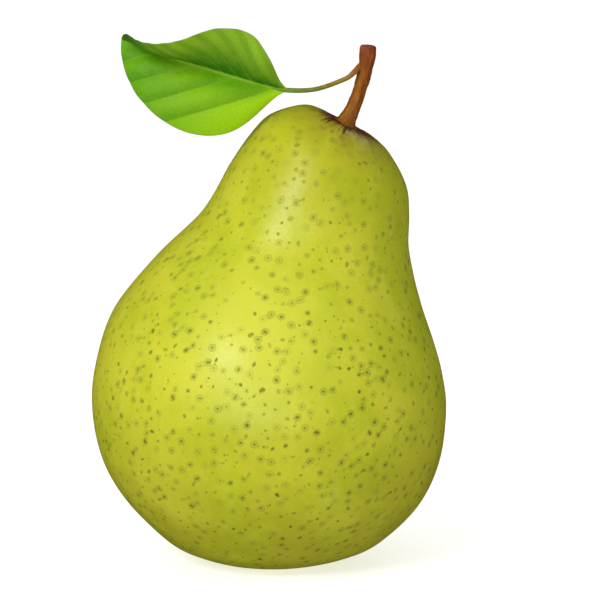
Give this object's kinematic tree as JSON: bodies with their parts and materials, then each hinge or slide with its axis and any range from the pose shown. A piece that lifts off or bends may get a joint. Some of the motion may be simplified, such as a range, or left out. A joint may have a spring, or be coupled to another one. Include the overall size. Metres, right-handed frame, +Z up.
{
  "type": "pear",
  "caption": "Ripe green-yellow pear with its neck leaning to one side, woody stem, one folded leaf and dried calyx; rests on a small flat spot.",
  "frame": {"origin": "middle of the small flat spot that the fruit rests on, within a millimetre of the middle of the box's base", "axes": "+Z up through the fruit, +X the way the neck and stem lean, -X the way the leaf reaches, -Y the side that the leaf faces"},
  "size_m": [0.0706, 0.0706, 0.1069],
  "materials": {
    "skin": "waxy, satin gloss, speckled with lenticels",
    "bark": "smooth young bark, satin",
    "leaf_green": "waxy upper face, matte paler underside",
    "dried_flower": "dry, matte"
  },
  "bodies": {
    "root": {"fruit": "skin", "stem": "bark", "leaf": "leaf_green", "sepal_1": "dried_flower", "sepal_2": "dried_flower", "sepal_3": "dried_flower", "sepal_4": "dried_flower", "sepal_5": "dried_flower", "dried_stamens": "dried_flower"}
  },
  "joints": []
}
